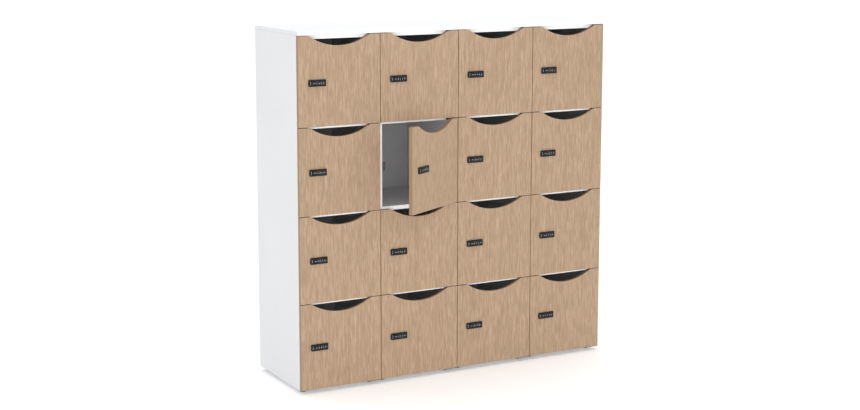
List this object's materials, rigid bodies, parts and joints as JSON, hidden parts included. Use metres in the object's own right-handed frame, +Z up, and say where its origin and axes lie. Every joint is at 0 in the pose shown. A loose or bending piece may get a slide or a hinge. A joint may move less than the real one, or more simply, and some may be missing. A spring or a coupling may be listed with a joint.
{
  "type": "locker bank",
  "caption": "Free-standing bank of wooden lockers with wave-cut mail-slot doors, number-dial combination locks, pivot hinges and levelling feet.",
  "frame": {"origin": "on the floor, in the middle of the width and of the depth from the door faces to the back", "axes": "+Z up, -Y out of the doors, +X to the right for someone who faces the doors"},
  "size_m": [1.6, 0.6647, 1.62],
  "materials": {
    "white_board": "white melamine-faced board, satin",
    "oak_board": "light oak board, matt",
    "lock_black": "fine-textured black plastic",
    "dial_grey": "dark grey plastic with light numbers",
    "foot_black": "black plastic",
    "steel": "dark passivated steel"
  },
  "bodies": {
    "carcass": {"top_board": "white_board", "side_panels": "white_board", "end_panels": "white_board", "shelves": "white_board", "back_panels": "white_board", "levelling_feet": "foot_black", "hinge_brackets": "steel", "keepers": "steel"},
    "door_a1": {"door_a1": "oak_board", "lock_a1": "lock_black"},
    "door_a2": {"door_a2": "oak_board", "lock_a2": "lock_black"},
    "door_a3": {"door_a3": "oak_board", "lock_a3": "lock_black"},
    "door_a4": {"door_a4": "oak_board", "lock_a4": "lock_black"},
    "door_b1": {"door_b1": "oak_board", "lock_b1": "lock_black"},
    "door_b2": {"door_b2": "oak_board", "lock_b2": "lock_black"},
    "door_b3": {"door_b3": "oak_board", "lock_b3": "lock_black"},
    "door_b4": {"door_b4": "oak_board", "lock_b4": "lock_black"},
    "door_c1": {"door_c1": "oak_board", "lock_c1": "lock_black"},
    "door_c2": {"door_c2": "oak_board", "lock_c2": "lock_black"},
    "door_c3": {"door_c3": "oak_board", "lock_c3": "lock_black"},
    "door_c4": {"door_c4": "oak_board", "lock_c4": "lock_black"},
    "door_d1": {"door_d1": "oak_board", "lock_d1": "lock_black"},
    "door_d2": {"door_d2": "oak_board", "lock_d2": "lock_black"},
    "door_d3": {"door_d3": "oak_board", "lock_d3": "lock_black"},
    "door_d4": {"door_d4": "oak_board", "lock_d4": "lock_black"},
    "latch_a1": {"latch_a1": "lock_black"},
    "latch_a2": {"latch_a2": "lock_black"},
    "latch_a3": {"latch_a3": "lock_black"},
    "latch_a4": {"latch_a4": "lock_black"},
    "latch_b1": {"latch_b1": "lock_black"},
    "latch_b2": {"latch_b2": "lock_black"},
    "latch_b3": {"latch_b3": "lock_black"},
    "latch_b4": {"latch_b4": "lock_black"},
    "latch_c1": {"latch_c1": "lock_black"},
    "latch_c2": {"latch_c2": "lock_black"},
    "latch_c3": {"latch_c3": "lock_black"},
    "latch_c4": {"latch_c4": "lock_black"},
    "latch_d1": {"latch_d1": "lock_black"},
    "latch_d2": {"latch_d2": "lock_black"},
    "latch_d3": {"latch_d3": "lock_black"},
    "latch_d4": {"latch_d4": "lock_black"},
    "dial_b2_1": {"dial_b2_1": "dial_grey"},
    "dial_b2_2": {"dial_b2_2": "dial_grey"},
    "dial_b2_3": {"dial_b2_3": "dial_grey"},
    "dial_b2_4": {"dial_b2_4": "dial_grey"}
  },
  "joints": [
    {"name": "door_b2_hinge", "type": "hinge", "parent": "carcass", "child": "door_b2", "pos_m": [-0.0075, -0.229, 1.003], "axis": [0, 0, 1], "range_deg": [-30, 70]},
    {"name": "door_a1_hinge", "type": "hinge", "parent": "carcass", "child": "door_a1", "pos_m": [-0.4075, -0.229, 1.40025], "axis": [0, 0, 1], "range_deg": [0, 100]},
    {"name": "door_a2_hinge", "type": "hinge", "parent": "carcass", "child": "door_a2", "pos_m": [-0.4075, -0.229, 1.003], "axis": [0, 0, 1], "range_deg": [0, 100]},
    {"name": "door_a3_hinge", "type": "hinge", "parent": "carcass", "child": "door_a3", "pos_m": [-0.4075, -0.229, 0.609], "axis": [0, 0, 1], "range_deg": [0, 100]},
    {"name": "door_a4_hinge", "type": "hinge", "parent": "carcass", "child": "door_a4", "pos_m": [-0.4075, -0.229, 0.215], "axis": [0, 0, 1], "range_deg": [0, 100]},
    {"name": "door_b1_hinge", "type": "hinge", "parent": "carcass", "child": "door_b1", "pos_m": [-0.0075, -0.229, 1.40025], "axis": [0, 0, 1], "range_deg": [0, 100]},
    {"name": "door_b3_hinge", "type": "hinge", "parent": "carcass", "child": "door_b3", "pos_m": [-0.0075, -0.229, 0.609], "axis": [0, 0, 1], "range_deg": [0, 100]},
    {"name": "door_b4_hinge", "type": "hinge", "parent": "carcass", "child": "door_b4", "pos_m": [-0.0075, -0.229, 0.215], "axis": [0, 0, 1], "range_deg": [0, 100]},
    {"name": "door_c1_hinge", "type": "hinge", "parent": "carcass", "child": "door_c1", "pos_m": [0.3925, -0.229, 1.40025], "axis": [0, 0, 1], "range_deg": [0, 100]},
    {"name": "door_c2_hinge", "type": "hinge", "parent": "carcass", "child": "door_c2", "pos_m": [0.3925, -0.229, 1.003], "axis": [0, 0, 1], "range_deg": [0, 100]},
    {"name": "door_c3_hinge", "type": "hinge", "parent": "carcass", "child": "door_c3", "pos_m": [0.3925, -0.229, 0.609], "axis": [0, 0, 1], "range_deg": [0, 100]},
    {"name": "door_c4_hinge", "type": "hinge", "parent": "carcass", "child": "door_c4", "pos_m": [0.3925, -0.229, 0.215], "axis": [0, 0, 1], "range_deg": [0, 100]},
    {"name": "door_d1_hinge", "type": "hinge", "parent": "carcass", "child": "door_d1", "pos_m": [0.7925, -0.229, 1.40025], "axis": [0, 0, 1], "range_deg": [0, 100]},
    {"name": "door_d2_hinge", "type": "hinge", "parent": "carcass", "child": "door_d2", "pos_m": [0.7925, -0.229, 1.003], "axis": [0, 0, 1], "range_deg": [0, 100]},
    {"name": "door_d3_hinge", "type": "hinge", "parent": "carcass", "child": "door_d3", "pos_m": [0.7925, -0.229, 0.609], "axis": [0, 0, 1], "range_deg": [0, 100]},
    {"name": "door_d4_hinge", "type": "hinge", "parent": "carcass", "child": "door_d4", "pos_m": [0.7925, -0.229, 0.215], "axis": [0, 0, 1], "range_deg": [0, 100]},
    {"name": "latch_b2_turn", "type": "hinge", "parent": "door_b2", "child": "latch_b2", "pos_m": [-0.28535, -0.39635, 1], "axis": [-0.5, 0.866, 0], "range_deg": [0, 90]},
    {"name": "dial_b2_1_turn", "type": "hinge", "parent": "door_b2", "child": "dial_b2_1", "pos_m": [-0.26932, -0.38571, 1], "axis": [0.866, 0.5, 0], "continuous": true},
    {"name": "dial_b2_2_turn", "type": "hinge", "parent": "door_b2", "child": "dial_b2_2", "pos_m": [-0.26084, -0.38081, 1], "axis": [0.866, 0.5, 0], "continuous": true},
    {"name": "dial_b2_3_turn", "type": "hinge", "parent": "door_b2", "child": "dial_b2_3", "pos_m": [-0.25235, -0.37591, 1], "axis": [0.866, 0.5, 0], "continuous": true},
    {"name": "dial_b2_4_turn", "type": "hinge", "parent": "door_b2", "child": "dial_b2_4", "pos_m": [-0.24386, -0.37101, 1], "axis": [0.866, 0.5, 0], "continuous": true},
    {"name": "latch_a1_turn", "type": "hinge", "parent": "door_a1", "child": "latch_a1", "pos_m": [-0.7318, -0.235, 1.394], "axis": [0, 1, 0], "range_deg": [0, 90]},
    {"name": "latch_a2_turn", "type": "hinge", "parent": "door_a2", "child": "latch_a2", "pos_m": [-0.7318, -0.235, 1], "axis": [0, 1, 0], "range_deg": [0, 90]},
    {"name": "latch_a3_turn", "type": "hinge", "parent": "door_a3", "child": "latch_a3", "pos_m": [-0.7318, -0.235, 0.606], "axis": [0, 1, 0], "range_deg": [0, 90]},
    {"name": "latch_a4_turn", "type": "hinge", "parent": "door_a4", "child": "latch_a4", "pos_m": [-0.7318, -0.235, 0.212], "axis": [0, 1, 0], "range_deg": [0, 90]},
    {"name": "latch_b1_turn", "type": "hinge", "parent": "door_b1", "child": "latch_b1", "pos_m": [-0.3318, -0.235, 1.394], "axis": [0, 1, 0], "range_deg": [0, 90]},
    {"name": "latch_b3_turn", "type": "hinge", "parent": "door_b3", "child": "latch_b3", "pos_m": [-0.3318, -0.235, 0.606], "axis": [0, 1, 0], "range_deg": [0, 90]},
    {"name": "latch_b4_turn", "type": "hinge", "parent": "door_b4", "child": "latch_b4", "pos_m": [-0.3318, -0.235, 0.212], "axis": [0, 1, 0], "range_deg": [0, 90]},
    {"name": "latch_c1_turn", "type": "hinge", "parent": "door_c1", "child": "latch_c1", "pos_m": [0.0682, -0.235, 1.394], "axis": [0, 1, 0], "range_deg": [0, 90]},
    {"name": "latch_c2_turn", "type": "hinge", "parent": "door_c2", "child": "latch_c2", "pos_m": [0.0682, -0.235, 1], "axis": [0, 1, 0], "range_deg": [0, 90]},
    {"name": "latch_c3_turn", "type": "hinge", "parent": "door_c3", "child": "latch_c3", "pos_m": [0.0682, -0.235, 0.606], "axis": [0, 1, 0], "range_deg": [0, 90]},
    {"name": "latch_c4_turn", "type": "hinge", "parent": "door_c4", "child": "latch_c4", "pos_m": [0.0682, -0.235, 0.212], "axis": [0, 1, 0], "range_deg": [0, 90]},
    {"name": "latch_d1_turn", "type": "hinge", "parent": "door_d1", "child": "latch_d1", "pos_m": [0.4682, -0.235, 1.394], "axis": [0, 1, 0], "range_deg": [0, 90]},
    {"name": "latch_d2_turn", "type": "hinge", "parent": "door_d2", "child": "latch_d2", "pos_m": [0.4682, -0.235, 1], "axis": [0, 1, 0], "range_deg": [0, 90]},
    {"name": "latch_d3_turn", "type": "hinge", "parent": "door_d3", "child": "latch_d3", "pos_m": [0.4682, -0.235, 0.606], "axis": [0, 1, 0], "range_deg": [0, 90]},
    {"name": "latch_d4_turn", "type": "hinge", "parent": "door_d4", "child": "latch_d4", "pos_m": [0.4682, -0.235, 0.212], "axis": [0, 1, 0], "range_deg": [0, 90]}
  ]
}
